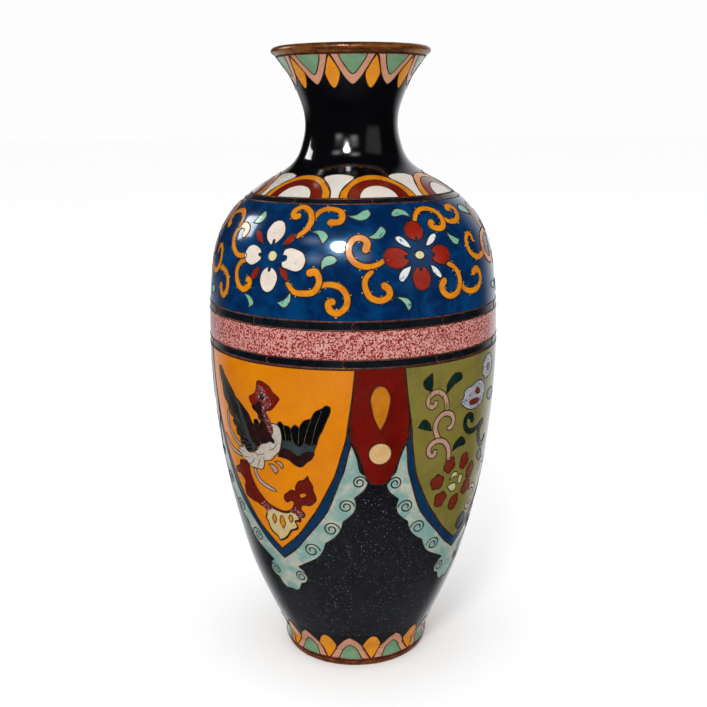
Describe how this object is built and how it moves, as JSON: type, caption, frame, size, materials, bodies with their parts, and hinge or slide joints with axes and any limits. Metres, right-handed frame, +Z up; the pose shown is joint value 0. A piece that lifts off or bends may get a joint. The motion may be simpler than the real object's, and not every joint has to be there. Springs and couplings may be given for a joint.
{
  "type": "cloisonne vase",
  "caption": "Baluster cloisonne vase with a swelling body, waisted neck, flared copper lip, narrow foot and enamel fields parted by copper wires.",
  "frame": {"origin": "centre of the foot ring's resting face", "axes": "+Z up along the vase's axis; the front seen first faces -Y, and +X is to its right"},
  "size_m": [0.0868, 0.0868, 0.184],
  "materials": {
    "copper": "rubbed brown copper with a soft shine",
    "wire": "fine dark copper cloison wire, polished level with the enamel",
    "black_enamel": "glossy near-black enamel with fine specks",
    "goldstone_enamel": "dark blue-black enamel cells with a little glitter",
    "blue_enamel": "glossy clouded cobalt enamel",
    "white_enamel": "glossy warm white enamel with small pits",
    "speckled_enamel": "pink enamel with fine red speckles",
    "yellow_enamel": "glossy ochre yellow enamel",
    "olive_enamel": "glossy olive green enamel",
    "red_enamel": "glossy dark red enamel",
    "green_enamel": "muted pink and green enamel fields",
    "sea_enamel": "pale blue-green enamel clouded with white",
    "counter_enamel": "plain speckled blue-green counter-enamel"
  },
  "bodies": {
    "root": {"base_enamel": "counter_enamel", "body_lining": "counter_enamel", "copper_base": "copper", "copper_body": "copper", "copper_neck": "copper", "foot_collar_enamel": "green_enamel", "foot_ring": "copper", "foot_wire": "wire", "lappet_1": "red_enamel", "lappet_2": "red_enamel", "lappet_3": "red_enamel", "lappet_4": "red_enamel", "lip_ring": "copper", "lip_wire": "wire", "lower_border_enamel": "goldstone_enamel", "lower_border_wire_bottom": "wire", "lower_border_wire_top": "wire", "lower_ground_enamel": "black_enamel", "middle_border_enamel": "goldstone_enamel", "middle_border_wire_bottom": "wire", "middle_border_wire_top": "wire", "neck_collar_enamel": "green_enamel", "neck_enamel": "black_enamel", "neck_lining": "counter_enamel", "scallop_band_enamel": "white_enamel", "scroll_band_enamel": "blue_enamel", "scroll_border_1": "sea_enamel", "scroll_border_2": "sea_enamel", "scroll_border_3": "sea_enamel", "scroll_border_4": "sea_enamel", "shield_border_1": "blue_enamel", "shield_border_2": "blue_enamel", "shield_border_3": "blue_enamel", "shield_border_4": "blue_enamel", "shield_field_1": "yellow_enamel", "shield_field_2": "olive_enamel", "shield_field_3": "yellow_enamel", "shield_field_4": "olive_enamel", "speckled_band_enamel": "speckled_enamel", "upper_border_enamel": "goldstone_enamel", "upper_border_wire_bottom": "wire", "upper_border_wire_top": "wire"}
  },
  "joints": []
}
